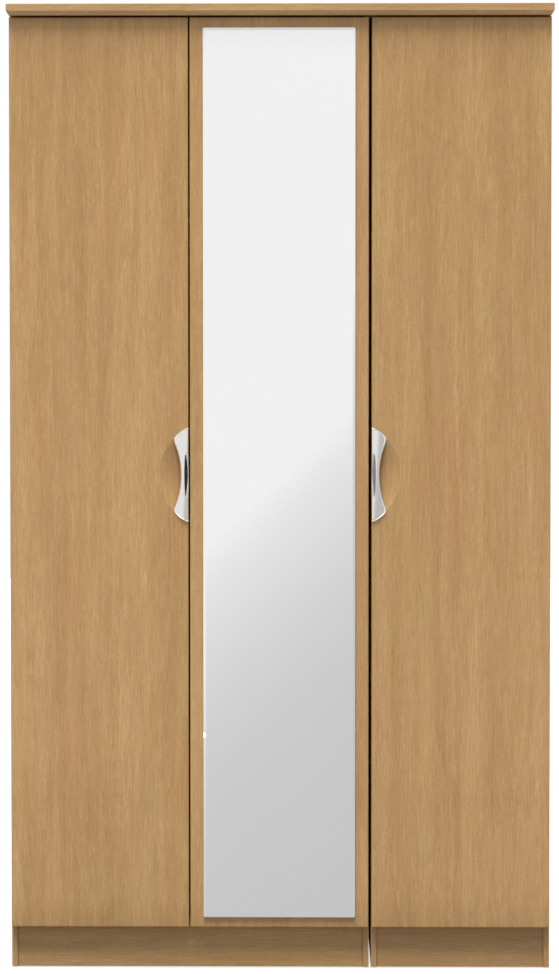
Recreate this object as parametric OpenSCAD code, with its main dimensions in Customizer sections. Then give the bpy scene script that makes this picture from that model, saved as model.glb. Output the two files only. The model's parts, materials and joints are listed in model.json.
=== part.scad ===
// Triple wardrobe: a two-door carcass and a one-door carcass side by side under one continuous top.
// Millimetres. X runs to the right, Y to the back and Z up; the doors face -Y.
// The origin is on the floor, at the middle of the overall width and depth.

/* [Overall] */
// Height from the floor to the upper face of the top
total_h = 1970; // [1900:10:2200]
// Depth from the front edge of the top to the heads of the back nails
total_d = 530; // [500:10:600]

/* [Carcasses] */
// Outside width of the two-door carcass
double_w = 733; // [700:1:850]
// Outside width of the one-door carcass
single_w = 366; // [350:1:425]
// Air gap between the two carcasses
carcass_gap = 4.5; // [4:0.5:6]
// Thickness of the side panels, plinths and rails
panel_t = 12; // [12:1:16]
// Thickness of the bottom boards and hat shelves
shelf_t = 15; // [15:1:18]
// Thickness of the hardboard backs
back_t = 3; // [2.5:0.5:4]
// Height of the underside of the bottom boards
base_z = 88; // [80:1:110]
// Setback of the plinths behind the side panels
plinth_setback = 4; // [2:1:30]
// Thickness of the nail-on glides under the side panels
glide_h = 3; // [2:0.5:5]
// Height of the underside of the hat shelves
hat_shelf_z = 1620; // [1550:5:1660]
// Height of the hanging rails
rail_z = 1555; // [1480:5:1560]

/* [Top] */
// Thickness of the top
top_t = 23; // [20:1:30]
// Overhang of the top past each outer side panel
top_side_overhang = 3.5; // [0:0.5:10]
// Overhang of the top in front of the doors
top_front_overhang = 17; // [8:0.5:20]
// Height of the sloping lower part of the top's edge
top_slope_h = 8.8; // [4:0.2:12]
// Depth of the sloping lower part of the top's edge
top_slope_d = 5.5; // [2:0.5:7]

/* [Doors] */
// Thickness of the doors
door_t = 18; // [18:1:22]
// Gap between the two doors of the two-door carcass
door_gap = 3; // [2:0.5:4]
// Strip of carcass showing beside each hinged door edge
door_reveal = 1; // [1:0.5:2]
// Gap between the closed doors and the carcass
door_back_gap = 2.5; // [2.5:0.5:4]
// Gap between the doors and the top
door_top_gap = 3; // [2:0.5:5]

/* [Mirror] */
// Width of the mirror glass
mirror_w = 309.5; // [250:0.5:312]
// Height of the mirror glass
mirror_h = 1812.5; // [1500:0.5:1820]
// Thickness of the mirror glass
mirror_t = 4; // [3:0.5:4]

/* [Handles] */
// Height of the middle of the handles
handle_z = 1015.5; // [950:0.5:1100]
// Half of the length of a handle
handle_half_l = 96.4; // [92:0.2:100]
// Width of a handle at its waist
handle_waist_w = 16.4; // [15:0.2:18]
// Radius of the hollow along a handle's inner side
handle_hollow_r = 173; // [160:1:190]
// Radius of a handle's round ends
handle_end_r = 48; // [46:1:52]
// Height of a handle's crown above the door
handle_crown = 7; // [6:0.25:7]
// Radius of the round outline of the finger scoop
scoop_outline_r = 101; // [98:1:104]
// Distance of the scoop's middle beyond the door's free edge
scoop_beyond = 41; // [39:1:44]

/* [Hidden] */
$fn = 48;
fine = 240;       // segments of the wide round surfaces
widest = 1440;    // segments of the nearly flat round surfaces
drill_play = 0.05;

// Places across the width
carcass_w = double_w + carcass_gap + single_w;
xl_double = -carcass_w / 2;
xr_double = xl_double + double_w;
xl_single = xr_double + carcass_gap;
xr_single = carcass_w / 2;
top_half_w = carcass_w / 2 + top_side_overhang;
double_door_w = (double_w - 2 * door_reveal - door_gap) / 2;
single_door_w = single_w - 2 * door_reveal;
left_door_x = xl_double + door_reveal;
mirror_door_x = xr_double - door_reveal - double_door_w;
right_door_x = xl_single + door_reveal;

// Places through the depth
y_top_front = -total_d / 2;
y_door_front = y_top_front + top_front_overhang;
y_door_back = y_door_front + door_t;
y_front = y_door_back + door_back_gap;
nail_head_h = 0.6;
y_back_rear = total_d / 2 - nail_head_h;
y_back = y_back_rear - back_t;
y_plinth = y_front + plinth_setback;
y_rail = (y_front + y_back) / 2;
shelf_front_inset = 36;

// Heights
z_top = total_h - top_t;
z_door_top = z_top - door_top_gap;
door_h = z_door_top - base_z;
z_base_top = base_z + shelf_t;
top_rail_h = 80;

// Colours
oak = [0.72, 0.57, 0.40];
oak_inside = [0.76, 0.62, 0.45];
hardboard = [0.80, 0.70, 0.55];
zinc = [0.78, 0.79, 0.80];
nickel = [0.70, 0.70, 0.72];
chrome = [0.90, 0.90, 0.92];
glass = [0.85, 0.88, 0.90];
black_plastic = [0.12, 0.12, 0.12];
clear_plastic = [0.88, 0.88, 0.86];

// ---------- shared shapes ----------

// A box between two corners
module block(low, high) {
    translate(low) cube(high - low);
}

// A stadium outline, longer along Y
module stadium(length, width) {
    square([width, length - width], center = true);
    for (s = [-1, 1])
        translate([0, s * (length - width) / 2]) circle(d = width);
}

// A screw along +Z: its head's outer face is at Z = 0 and its tip at the given length
module screw(head_r, head_h, shank_r, length, countersunk) {
    tip_h = 2 * shank_r;
    difference() {
        union() {
            if (countersunk)
                cylinder(r1 = head_r, r2 = shank_r, h = head_h);
            else
                cylinder(r = head_r, h = head_h);
            cylinder(r = shank_r, h = length - tip_h);
            translate([0, 0, length - tip_h])
                cylinder(r1 = shank_r, r2 = shank_r / 5, h = tip_h);
        }
        for (turn = [0, 90])
            rotate([0, 0, turn])
                translate([-head_r * 0.55, -0.35, -1]) cube([head_r * 1.1, 0.7, 1.8]);
    }
}

// ---------- cam fittings ----------

// A joint's own frame: X runs from the panel with the dowel into the board with the cam,
// and -Z points at the face that the cam is let into.
// Each row is [point on the joint face, rotation, half the thickness of the board].
cam_r = 6;
cam_h = 9.5;
cam_from_edge = 24;
cam_front_y = y_front + 38;
cam_back_y = y_back - 38;

function cam_rows(xl, xr) = [
    for (end = [0, 1])
        let (x = end == 0 ? xl + panel_t : xr - panel_t, up = [0, 0, 180 * end],
             flat = end == 0 ? [90, 0, 0] : [-90, 0, 180])
        each [
            [[x, cam_front_y, base_z + shelf_t / 2], up, shelf_t / 2],
            [[x, cam_back_y, base_z + shelf_t / 2], up, shelf_t / 2],
            [[x, y_plinth + panel_t / 2, (glide_h + base_z) / 2], flat, panel_t / 2],
            [[x, y_back - panel_t / 2, (glide_h + base_z) / 2], flat, panel_t / 2],
            [[x, y_back - panel_t / 2, z_top - top_rail_h / 2], flat, panel_t / 2]
        ],
    for (end = [0, 1], y = [cam_front_y, cam_back_y])
        [[end == 0 ? xl + panel_t / 2 : xr - panel_t / 2, y, z_top],
         [0, 90, end == 0 ? 180 : 0], panel_t / 2]
];
all_cams = concat(cam_rows(xl_double, xr_double), cam_rows(xl_single, xr_single));

function touches(p, low, high) =
    min([for (i = [0:2]) min(p[i] - low[i], high[i] - p[i])]) > -0.5;

// Places its child in each cam joint's frame, with the board's half thickness in $half_t
module at_cams(rows) {
    for (row = rows)
        let ($half_t = row[2])
        translate(row[0]) rotate(row[1]) children();
}

module cam_lock() {
    difference() {
        translate([cam_from_edge, 0, -$half_t]) cylinder(r = cam_r - drill_play, h = cam_h);
        translate([cam_from_edge - cam_r - 1, 0, 0])
            rotate([0, 90, 0]) cylinder(r = 2.7, h = cam_r + 1);
        translate([cam_from_edge - 1, 0, 0]) sphere(r = 3.7);
        for (turn = [0, 90])
            translate([cam_from_edge, 0, -$half_t]) rotate([0, 0, turn])
                translate([-4, -0.6, -1]) cube([8, 1.2, 3]);
    }
}

module cam_dowel() {
    translate([-10, 0, 0]) rotate([0, 90, 0]) cylinder(r = 2.5, h = 10);
    rotate([0, 90, 0]) cylinder(r = 3.3, h = 1.2);
    rotate([0, 90, 0]) cylinder(r = 2.2, h = cam_from_edge - 1.5);
    translate([cam_from_edge - 3, 0, 0]) rotate([0, 90, 0]) cylinder(r = 2.9, h = 2.4);
}

module cam_holes() {
    translate([-10.2, 0, 0]) rotate([0, 90, 0]) cylinder(r = 2.5 + drill_play, h = 10.2);
    translate([-0.1, 0, 0])
        rotate([0, 90, 0]) cylinder(r = 3.3 + drill_play, h = cam_from_edge);
    translate([cam_from_edge, 0, -$half_t - 1]) cylinder(r = cam_r, h = cam_h + 1.2);
}

// A board between two corners, drilled for every cam fitting whose joint face it meets
module board(low, high) {
    difference() {
        block(low, high);
        at_cams([for (row = all_cams) if (touches(row[0], low, high)) row]) cam_holes();
    }
}

// ---------- hinges ----------

// A hinge's own frame: X runs inward from the carcass's outer face, Y back from its front edges,
// and Z = 0 is the hinge's middle. Each door turns about one vertical pin line in its cups.
pin_from_edge = 6.4;
pin_depth = 9.5;
pin_r = 1;
cup_from_edge = 20.5;
cup_bore_r = 17.5;
cup_bore_depth = 12.5;
cup_wall = 0.85;
cup_floor = 0.75;
cup_flange_t = 1;
cup_screw_from_edge = 30;
cup_screw_z = 24;
pin_x = door_reveal + pin_from_edge;
pin_y = -door_back_gap - pin_depth;
cup_x = door_reveal + cup_from_edge;
cup_screw_x = door_reveal + cup_screw_from_edge;
arm_t = 1.6;
arm_eye_r = 1.8;
arm_half_w = 4.5;
pin_half_l = 8.7;
arm_reach_x = pin_x + 17.2;
channel_half_w = 9.5;
channel_y = [5, 62];
plate_x = panel_t;
plate_t = 2;
plate_screw_y = 37;
plate_screw_z = 16;
arm_screw_ys = [22, 48];
hinge_end_gap = 100;
hinge_zs = [for (i = [0:3]) base_z + hinge_end_gap + i * (door_h - 2 * hinge_end_gap) / 3];

// Places its child at every hinge of a side panel; side is 1 for a left panel and -1 for a right one
module at_hinges(outer_x, side) {
    for (z = hinge_zs)
        translate([outer_x, y_front, z]) mirror([side < 0 ? 1 : 0, 0, 0]) children();
}

module at_all_hinges() {
    at_hinges(xl_double, 1) children();
    at_hinges(xr_double, -1) children();
    at_hinges(xr_single, -1) children();
}

// A hinge's round features stand along Y, from the door's back face into the door
module into_door(x, z, from_back) {
    translate([x, from_back - door_back_gap, z]) rotate([90, 0, 0]) children();
}

module hinge_cup() {
    difference() {
        union() {
            into_door(cup_x, 0, 0)
                cylinder(r = cup_bore_r - drill_play, h = cup_bore_depth - 0.1);
            into_door(cup_x, 0, cup_flange_t) cylinder(r = cup_bore_r + 1, h = cup_flange_t);
            block([cup_screw_x - 6, -door_back_gap, -cup_screw_z],
                  [cup_screw_x + 6, cup_flange_t - door_back_gap, cup_screw_z]);
            for (s = [-1, 1])
                into_door(cup_screw_x, s * cup_screw_z, cup_flange_t)
                    cylinder(r = 6, h = cup_flange_t);
        }
        into_door(cup_x, 0, cup_flange_t + 1)
            cylinder(r = cup_bore_r - drill_play - cup_wall,
                     h = cup_flange_t + 1 + cup_bore_depth - 0.1 - cup_floor);
        for (s = [-1, 1])
            into_door(cup_screw_x, s * cup_screw_z, cup_flange_t + 1)
                cylinder(r = 1.7 + drill_play, h = cup_flange_t + 2);
        // Notch beside the arm's eye, which the arm passes through when the door stands open
        block([door_reveal + 1, pin_y - arm_eye_r - 0.5, -arm_half_w - 1],
              [door_reveal + 5.5, 1, arm_half_w + 1]);
        translate([pin_x, pin_y, 0])
            cylinder(r = pin_r + 0.02, h = 2 * pin_half_l + 0.1, center = true);
    }
}

module cup_screw() {
    into_door(cup_screw_x, 0, cup_flange_t + 1.2) screw(3.2, 1.2, 1.7, 12.2, false);
}

module hinge_pin() {
    translate([pin_x, pin_y, 0]) cylinder(r = pin_r, h = 2 * pin_half_l, center = true);
}

module hinge_arm() {
    difference() {
        union() {
            translate([pin_x, pin_y, 0]) cylinder(r = arm_eye_r, h = 2 * arm_half_w, center = true);
            block([pin_x, pin_y - arm_t / 2, -arm_half_w],
                  [arm_reach_x, pin_y + arm_t / 2, arm_half_w]);
            block([arm_reach_x - arm_t, pin_y - arm_t / 2, -arm_half_w],
                  [arm_reach_x, channel_y[0] + 1, arm_half_w]);
            block([arm_reach_x - arm_t, channel_y[0], -channel_half_w],
                  [arm_reach_x, channel_y[1], channel_half_w]);
            for (s = [-1, 1])
                translate([0, 0, s * (channel_half_w - arm_t / 2)])
                    block([plate_x + plate_t + 0.3, channel_y[0], -arm_t / 2],
                          [arm_reach_x, channel_y[1], arm_t / 2]);
        }
        translate([pin_x, pin_y, 0])
            cylinder(r = pin_r + 0.05, h = 2 * arm_half_w + 2, center = true);
        for (y = arm_screw_ys)
            translate([plate_x, y, 0]) rotate([0, 90, 0]) cylinder(r = 2 + drill_play, h = 30);
    }
}

module hinge_plate() {
    difference() {
        union() {
            block([plate_x, 11, -7.5], [arm_reach_x - arm_t - 0.1, 59, 7.5]);
            block([plate_x, plate_screw_y - 8, -plate_screw_z],
                  [plate_x + plate_t, plate_screw_y + 8, plate_screw_z]);
            for (s = [-1, 1])
                translate([plate_x, plate_screw_y, s * plate_screw_z])
                    rotate([0, 90, 0]) cylinder(r = 8, h = plate_t);
        }
        for (s = [-1, 1])
            translate([plate_x + plate_t, plate_screw_y, s * plate_screw_z])
                rotate([0, -90, 0]) screw_hole(3.5, 1.8, 1.75, plate_t + 1);
        for (y = arm_screw_ys)
            translate([plate_x + 2, y, 0]) rotate([0, 90, 0]) cylinder(r = 2 + drill_play, h = 30);
    }
}

// The hole for a countersunk screw along +Z, a little wider than the screw all round
module screw_hole(head_r, head_h, shank_r, length) {
    cylinder(r = shank_r + drill_play, h = length);
    cylinder(r1 = head_r + drill_play, r2 = shank_r + drill_play, h = head_h);
    translate([0, 0, -1]) cylinder(r = head_r + drill_play, h = 1);
}

module hinge_plate_screw() {
    translate([plate_x + plate_t, plate_screw_y, 0])
        rotate([0, -90, 0]) screw(3.5, 1.8, 1.75, 11, true);
}

module hinge_arm_screw() {
    translate([arm_reach_x + 1.6, 0, 0]) rotate([0, -90, 0]) screw(3.2, 1.6, 2, 11, false);
}

// Pilot holes for the hinge plates' screws, in a side panel
module plate_screw_holes() {
    for (s = [-1, 1])
        translate([plate_x + 1, plate_screw_y, s * plate_screw_z])
            rotate([0, -90, 0]) cylinder(r = 1.75 + drill_play, h = 10.3);
}

// Bores for the hinge cups and their screws, in a door's back
module cup_bores() {
    into_door(cup_x, 0, 1) cylinder(r = cup_bore_r, h = cup_bore_depth + 1);
    for (s = [-1, 1])
        into_door(cup_screw_x, s * cup_screw_z, 1) cylinder(r = 1.7 + drill_play, h = 13);
}

// ---------- inside fittings ----------

shelf_pin_r = 2.5;
shelf_pin_ys = [y_front + 90, y_back - 60];
socket_screw_z = 22;
connector_ys = [y_front + 45, y_back - 50];
connector_zs = [420, 1500];
glide_ys = [y_front + 22, y_back - 22];
bracket_xs = [xl_double + 150, xr_double - 150, (xl_single + xr_single) / 2];
bracket_w = 20;
bracket_l = 40;
bracket_t = 2;
bracket_screw_y = y_back - panel_t - 26;
wall_hole_z = z_top - 22;
wall_hole_r = 2.6;
wall_clearance_r = 4;

// Places its child at a panel's inner face, with +X pointing into the carcass
module at_inner_faces(xl, xr) {
    translate([xl + panel_t, 0, 0]) children();
    translate([xr - panel_t, 0, 0]) mirror([1, 0, 0]) children();
}

module at_all_inner_faces() {
    at_inner_faces(xl_double, xr_double) children();
    at_inner_faces(xl_single, xr_single) children();
}

module shelf_pin() {
    rotate([0, 90, 0]) {
        translate([0, 0, -8]) cylinder(r = shelf_pin_r, h = 16);
        cylinder(r = shelf_pin_r + 1, h = 1);
    }
}

module at_shelf_pins() {
    for (y = shelf_pin_ys)
        translate([0, y, hat_shelf_z - shelf_pin_r - 1]) children();
}

module rail_socket() {
    difference() {
        union() {
            upright_stadium(52, 22, 2.5);
            upright_stadium(35, 20, 11);
        }
        translate([1, 0, 0]) upright_stadium(30.4, 15.4, 20);
        for (s = [-1, 1])
            translate([2.5, 0, s * socket_screw_z])
                rotate([0, -90, 0]) screw_hole(3, 1.6, 1.6, 4);
    }
}

// A stadium that is longer along Z, extruded along X
module upright_stadium(length, width, depth) {
    rotate([0, 90, 0]) linear_extrude(depth) rotate([0, 0, 90]) stadium(length, width);
}

module rail_socket_screw() {
    translate([2.5, 0, 0]) rotate([0, -90, 0]) screw(3, 1.6, 1.6, 12, true);
}

module hanging_rail(xl, xr) {
    length = xr - xl - 2 * panel_t - 3;
    translate([xl + panel_t + 1.5, y_rail, rail_z])
        difference() {
            upright_stadium(30, 15, length);
            translate([-1, 0, 0]) upright_stadium(28, 13, length + 2);
        }
}

// Holes that every side panel has on its inner face; x is that face and side points inward
module side_panel_holes(inner_x, side) {
    translate([inner_x, 0, 0]) mirror([side < 0 ? 1 : 0, 0, 0]) {
        at_shelf_pins() translate([-8.3, 0, 0])
            rotate([0, 90, 0]) cylinder(r = shelf_pin_r + drill_play, h = 9);
        for (s = [-1, 1])
            translate([-9.8, y_rail, rail_z + s * socket_screw_z])
                rotate([0, 90, 0]) cylinder(r = 1.6 + drill_play, h = 11);
    }
}

module glide_nail_holes(x) {
    for (y = glide_ys)
        translate([x, y, 0]) cylinder(r = 1 + drill_play, h = glide_h + 12.2);
}

module connector_holes() {
    for (y = connector_ys, z = connector_zs)
        translate([xr_double - panel_t - 1, y, z])
            rotate([0, 90, 0]) cylinder(r = 3.5 + drill_play, h = 2 * panel_t + carcass_gap + 2);
}

// A side panel: x is its left face, side is 1 for a left-hand panel and -1 for a right-hand one
module side_panel(x, side, hinged, coupled) {
    outer_x = side > 0 ? x : x + panel_t;
    inner_x = side > 0 ? x + panel_t : x;
    color(oak) difference() {
        board([x, y_front, glide_h], [x + panel_t, y_back, z_top]);
        side_panel_holes(inner_x, side);
        glide_nail_holes(x + panel_t / 2);
        at_back_nails_of(x + panel_t / 2) back_nail_hole();
        if (hinged)
            at_hinges(outer_x, side) plate_screw_holes();
        if (coupled)
            connector_holes();
    }
}

module double_left_side() { side_panel(xl_double, 1, true, false); }
module double_right_side() { side_panel(xr_double - panel_t, -1, true, true); }
module single_left_side() { side_panel(xl_single, 1, false, true); }
module single_right_side() { side_panel(xr_single - panel_t, -1, true, false); }

// ---------- boards ----------

// The top's edge: upright above, sloping inward below, along the front and both ends
module top_edge_cut(length) {
    rotate([90, 0, 0]) linear_extrude(length, center = true)
        polygon([[-1, -1], [top_slope_d, -1], [top_slope_d, 0], [0, top_slope_h], [-1, top_slope_h]]);
}

module top_panel() {
    color(oak) difference() {
        board([-top_half_w, y_top_front, z_top], [top_half_w, total_d / 2, total_h]);
        translate([-top_half_w, 0, z_top]) top_edge_cut(total_d + 2);
        translate([top_half_w, 0, z_top]) mirror([1, 0, 0]) top_edge_cut(total_d + 2);
        translate([0, y_top_front, z_top]) rotate([0, 0, 90]) top_edge_cut(2 * top_half_w + 2);
        for (x = bracket_xs)
            translate([x, bracket_screw_y, z_top - 1]) cylinder(r = 1.75 + drill_play, h = 13);
    }
}

module bottom_board(xl, xr) {
    color(oak_inside)
        board([xl + panel_t, y_front, base_z], [xr - panel_t, y_back, z_base_top]);
}
module double_base() { bottom_board(xl_double, xr_double); }
module single_base() { bottom_board(xl_single, xr_single); }

module double_base_support() {
    middle = (xl_double + xr_double) / 2;
    color(oak_inside)
        block([middle - panel_t / 2, y_plinth + panel_t, glide_h],
              [middle + panel_t / 2, y_back - panel_t, base_z]);
}

module plinth(xl, xr) {
    color(oak)
        board([xl + panel_t, y_plinth, glide_h], [xr - panel_t, y_plinth + panel_t, base_z]);
}
module double_plinth() { plinth(xl_double, xr_double); }
module single_plinth() { plinth(xl_single, xr_single); }

module rear_rail(xl, xr) {
    color(oak_inside)
        board([xl + panel_t, y_back - panel_t, glide_h], [xr - panel_t, y_back, base_z]);
}
module double_rear_rail() { rear_rail(xl_double, xr_double); }
module single_rear_rail() { rear_rail(xl_single, xr_single); }

module wall_clearance_holes(xs, y, depth) {
    for (x = xs)
        translate([x, y - 1, wall_hole_z])
            rotate([-90, 0, 0]) cylinder(r = wall_clearance_r, h = depth + 2);
}

module top_rail(xl, xr, xs) {
    color(oak_inside) difference() {
        board([xl + panel_t, y_back - panel_t, z_top - top_rail_h], [xr - panel_t, y_back, z_top]);
        wall_clearance_holes(xs, y_back - panel_t, panel_t);
    }
}
module double_top_rail() { top_rail(xl_double, xr_double, [bracket_xs[0], bracket_xs[1]]); }
module single_top_rail() { top_rail(xl_single, xr_single, [bracket_xs[2]]); }

module back_panel(xl, xr, xs) {
    color(hardboard) difference() {
        block([xl + 1, y_back, glide_h + 1], [xr - 1, y_back_rear, z_top]);
        wall_clearance_holes(xs, y_back, back_t);
        at_back_nails(xl, xr) back_nail_hole();
    }
}
module double_back_panel() { back_panel(xl_double, xr_double, [bracket_xs[0], bracket_xs[1]]); }
module single_back_panel() { back_panel(xl_single, xr_single, [bracket_xs[2]]); }

nail_r = 0.7;
nail_zs = [for (i = [0:6]) 50 + i * (z_top - 100) / 6];

// Places its child at every nail into one side panel
module at_back_nails_of(x) {
    for (z = nail_zs)
        translate([x, total_d / 2, z]) rotate([90, 0, 0]) children();
}

module at_back_nails(xl, xr) {
    at_back_nails_of(xl + panel_t / 2) children();
    at_back_nails_of(xr - panel_t / 2) children();
}

module back_nail_hole() {
    cylinder(r = nail_r + drill_play, h = 18);
}

module back_panel_nails() {
    color(zinc)
        for (carcass = [[xl_double, xr_double], [xl_single, xr_single]])
            at_back_nails(carcass[0], carcass[1])
                union() {
                    cylinder(r = 1.8, h = nail_head_h);
                    cylinder(r = nail_r, h = 16);
                }
}

module hat_shelf(xl, xr) {
    color(oak_inside)
        block([xl + panel_t + 1.2, y_front + shelf_front_inset, hat_shelf_z],
              [xr - panel_t - 1.2, y_back - 1, hat_shelf_z + shelf_t]);
}
module double_hat_shelf() { hat_shelf(xl_double, xr_double); }
module single_hat_shelf() { hat_shelf(xl_single, xr_single); }

// ---------- fittings as sub-parts ----------

module shelf_pins() { color(zinc) at_all_inner_faces() at_shelf_pins() shelf_pin(); }
module double_hanging_rail() { color(chrome) hanging_rail(xl_double, xr_double); }
module single_hanging_rail() { color(chrome) hanging_rail(xl_single, xr_single); }
module rail_sockets() {
    color(nickel) at_all_inner_faces() translate([0, y_rail, rail_z]) rail_socket();
}
module rail_socket_screws() {
    color(zinc) at_all_inner_faces()
        for (s = [-1, 1])
            translate([0, y_rail, rail_z + s * socket_screw_z]) rail_socket_screw();
}

module cam_locks() { color(zinc) at_cams(all_cams) cam_lock(); }
module cam_dowels() { color(nickel) at_cams(all_cams) cam_dowel(); }

module at_connectors() {
    for (y = connector_ys, z = connector_zs)
        translate([xr_double, y, z]) rotate([0, 90, 0]) children();
}
module carcass_spacers() {
    color(black_plastic) at_connectors()
        difference() {
            cylinder(r = 9, h = carcass_gap);
            translate([0, 0, -1]) cylinder(r = 3.5 + drill_play, h = carcass_gap + 2);
        }
}
module connector_sleeves() {
    color(nickel) at_connectors()
        difference() {
            union() {
                translate([0, 0, -panel_t - 1.6]) cylinder(r = 7, h = 1.6);
                translate([0, 0, -panel_t]) cylinder(r = 3.5, h = 20);
            }
            translate([0, 0, -panel_t + 2]) cylinder(r = 2 + drill_play, h = 30);
        }
}
module connector_bolts() {
    color(nickel) at_connectors()
        translate([0, 0, carcass_gap + panel_t + 1.6]) rotate([180, 0, 0])
            screw(7, 1.6, 2, 22, false);
}

module floor_glides() {
    color(black_plastic)
        for (x = [xl_double, xr_double - panel_t, xl_single, xr_single - panel_t], y = glide_ys)
            translate([x + panel_t / 2, y, 0]) {
                cylinder(r = 5.5, h = glide_h);
                cylinder(r = 1, h = glide_h + 12);
            }
}

module wall_brackets() {
    y_leaf = y_back - panel_t;
    color(zinc)
        for (x = bracket_xs)
            difference() {
                union() {
                    block([x - bracket_w / 2, y_leaf - bracket_l, z_top - bracket_t],
                          [x + bracket_w / 2, y_leaf, z_top]);
                    block([x - bracket_w / 2, y_leaf - bracket_t, z_top - bracket_l],
                          [x + bracket_w / 2, y_leaf, z_top]);
                }
                translate([x, y_leaf + 1, wall_hole_z])
                    rotate([90, 0, 0]) cylinder(r = wall_hole_r, h = bracket_t + 2);
                translate([x, bracket_screw_y, z_top - bracket_t])
                    screw_hole(3.4, 1.7, 1.75, bracket_t + 1);
            }
}
module wall_bracket_screws() {
    color(zinc)
        for (x = bracket_xs)
            translate([x, bracket_screw_y, z_top - bracket_t]) screw(3.4, 1.7, 1.75, 13, true);
}

// Clear pads that the free edges of the doors close against
bumper_r = 4;
module door_bumpers() {
    z_pads = [base_z + 7.5];
    x_free_left = left_door_x + double_door_w - 12;
    x_free_mirror = mirror_door_x + 12;
    color(clear_plastic) {
        for (x = [x_free_left, x_free_mirror], z = z_pads) bumper(x, z);
        for (z = [base_z + 20, z_door_top - 20]) bumper(xl_single + 6, z);
    }
}
module bumper(x, z) {
    translate([x, y_front, z]) rotate([90, 0, 0]) cylinder(r1 = bumper_r, r2 = bumper_r - 1, h = 2);
}

module hinge_plates() { color(nickel) at_all_hinges() hinge_plate(); }
module hinge_plate_screws() {
    color(zinc) at_all_hinges()
        for (s = [-1, 1]) translate([0, 0, s * plate_screw_z]) hinge_plate_screw();
}
module hinge_arms() { color(nickel) at_all_hinges() hinge_arm(); }
module hinge_arm_screws() {
    color(zinc) at_all_hinges()
        for (y = arm_screw_ys) translate([0, y, 0]) hinge_arm_screw();
}

// ---------- doors ----------

handle_screw_u = 14;
handle_screw_z = 84;
handle_end_tilt = 14;    // slope of the round ends at the door's edge, in degrees
handle_corner_blend = 8.4;
scoop_r = 370;
mirror_tape_t = 1;

// Handles and scoops are drawn in a frame at the door's free edge: X runs from that edge into the
// door's width, -Y out of the door's front face, and Z = 0 is the handle's middle.
module at_free_edge(edge_x, side) {
    translate([edge_x, y_door_front, handle_z]) mirror([side < 0 ? 1 : 0, 0, 0]) children();
}

module finger_scoop() {
    translate([-scoop_beyond, -sqrt(pow(scoop_r, 2) - pow(scoop_outline_r, 2)), 0])
        sphere(r = scoop_r, $fn = fine);
}

module at_handle_screws() {
    for (s = [-1, 1]) translate([handle_screw_u, 0, s * handle_screw_z]) children();
}

// The handle's width at a height: a round end, a soft corner, then a shallow hollow to the waist
function end_width(z) =
    let (rise = max(0, abs(z) - handle_half_l + handle_end_r * cos(handle_end_tilt)))
    sqrt(max(0, pow(handle_end_r, 2) - pow(rise, 2))) - handle_end_r * sin(handle_end_tilt);
function hollow_width(z) =
    handle_waist_w + handle_hollow_r - sqrt(pow(handle_hollow_r, 2) - pow(z, 2));
function soft_min(a, b, blend) = min(a, b) - pow(max(blend - abs(a - b), 0), 2) / (4 * blend);
function handle_width(z) = soft_min(end_width(z), hollow_width(z), handle_corner_blend);

module handle_outline() {
    steps = 76;
    polygon([for (i = [0:steps])
        let (z = handle_half_l * sin(-90 + 180 * i / steps))
        [max(handle_width(z), 0), z]]);
}

module handle() {
    length_bow_r = 1500;
    cross_bow_r = 70;
    crest_u = 9;
    arch_half_l = 66;
    arch_h = 3.6;
    arch_r = (pow(arch_half_l, 2) + pow(arch_h, 2)) / (2 * arch_h);
    color(chrome) difference() {
        intersection() {
            rotate([90, 0, 0]) linear_extrude(handle_crown) handle_outline();
            translate([-10, length_bow_r - handle_crown, 0])
                rotate([0, 90, 0]) cylinder(r = length_bow_r, h = 60, $fn = widest);
            translate([crest_u, cross_bow_r - handle_crown, -100])
                cylinder(r = cross_bow_r, h = 200, $fn = fine);
        }
        // Arched hollow behind the waist, for the fingers
        translate([-10, arch_r - arch_h, 0])
            rotate([0, 90, 0]) cylinder(r = arch_r, h = 60, $fn = widest);
        at_handle_screws() rotate([90, 0, 0])
            translate([0, 0, -1]) cylinder(r = 2 + drill_play, h = 4.2);
    }
}

module handle_screw() {
    translate([0, door_t, 0]) rotate([90, 0, 0]) screw(4, 2.4, 2, door_t + 3, true);
}

module handle_screw_holes() {
    at_handle_screws()
        translate([0, door_t, 0]) rotate([90, 0, 0]) screw_hole(4, 2.4, 2, door_t + 5);
}

// A door leaf: hinge_x is the outer face of the carcass at its hinges and side is as in at_hinges
module door_leaf(x, width, hinge_x, side) {
    difference() {
        block([x, y_door_front, base_z], [x + width, y_door_back, z_door_top]);
        at_hinges(hinge_x, side) cup_bores();
        children();
    }
}

module left_door() {
    color(oak)
        door_leaf(left_door_x, double_door_w, xl_double, 1)
            at_free_edge(left_door_x + double_door_w, -1) {
                finger_scoop();
                handle_screw_holes();
            }
}
module left_handle() { at_free_edge(left_door_x + double_door_w, -1) handle(); }
module left_handle_screws() {
    color(zinc) at_free_edge(left_door_x + double_door_w, -1) at_handle_screws() handle_screw();
}
module left_hinge_cups() { color(nickel) at_hinges(xl_double, 1) hinge_cup(); }
module left_cup_screws() { color(zinc) at_hinges(xl_double, 1) cup_screws(); }
module left_hinge_pins() { color(zinc) at_hinges(xl_double, 1) hinge_pin(); }

module cup_screws() {
    for (s = [-1, 1]) translate([0, 0, s * cup_screw_z]) cup_screw();
}

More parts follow.
